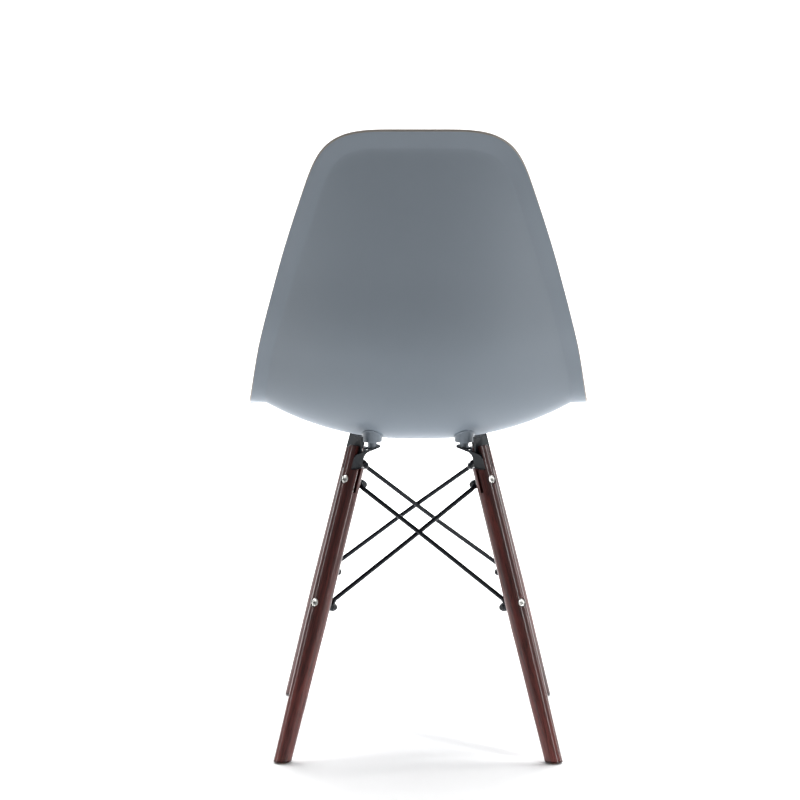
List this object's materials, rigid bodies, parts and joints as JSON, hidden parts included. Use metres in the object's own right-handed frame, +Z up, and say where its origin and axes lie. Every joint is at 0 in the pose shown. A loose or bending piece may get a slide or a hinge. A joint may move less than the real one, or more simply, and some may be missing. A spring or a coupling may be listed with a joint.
{
  "type": "moulded plastic shell chair",
  "caption": "Armless dining chair: moulded plastic shell seat and back with a rolled rim on splayed wooden dowel legs, braced by crossed steel rods.",
  "frame": {"origin": "on the floor, under the middle of the chair's overall box", "axes": "+Z up, the sitter faces -Y, +X is the sitter's left"},
  "size_m": [0.4645, 0.5424, 0.8238],
  "materials": {
    "seat_plastic": "fine satin moulded polypropylene",
    "leg_wood": "dark walnut stain under satin lacquer",
    "bracket_steel": "black powder coat",
    "rod_steel": "black powder coat, satin",
    "bolt_zinc": "bright zinc plate",
    "nut_black": "black zinc, satin",
    "washer_black": "black zinc",
    "spacer_plastic": "moulded nylon",
    "insert_brass": "turned",
    "screw_black": "black zinc",
    "glide_plastic": "moulded nylon"
  },
  "bodies": {
    "root": {"seat_shell": "seat_plastic", "leg_rear_left": "leg_wood", "leg_bracket_rear_left": "bracket_steel", "foot_glide_rear_left": "glide_plastic", "leg_rear_right": "leg_wood", "leg_bracket_rear_right": "bracket_steel", "foot_glide_rear_right": "glide_plastic", "leg_front_right": "leg_wood", "leg_bracket_front_right": "bracket_steel", "foot_glide_front_right": "glide_plastic", "leg_front_left": "leg_wood", "leg_bracket_front_left": "bracket_steel", "foot_glide_front_left": "glide_plastic", "brace_rod_rear_outer": "rod_steel", "brace_rod_rear_inner": "rod_steel", "brace_rod_right_outer": "rod_steel", "brace_rod_right_inner": "rod_steel", "brace_rod_front_outer": "rod_steel", "brace_rod_front_inner": "rod_steel", "brace_rod_left_outer": "rod_steel", "brace_rod_left_inner": "rod_steel", "upper_leg_bolts": "bolt_zinc", "lower_leg_bolts": "bolt_zinc", "upper_cap_nuts": "nut_black", "lower_cap_nuts": "nut_black", "nut_washers": "washer_black", "mount_spacers": "spacer_plastic", "threaded_inserts": "insert_brass", "mount_screws": "screw_black"}
  },
  "joints": []
}
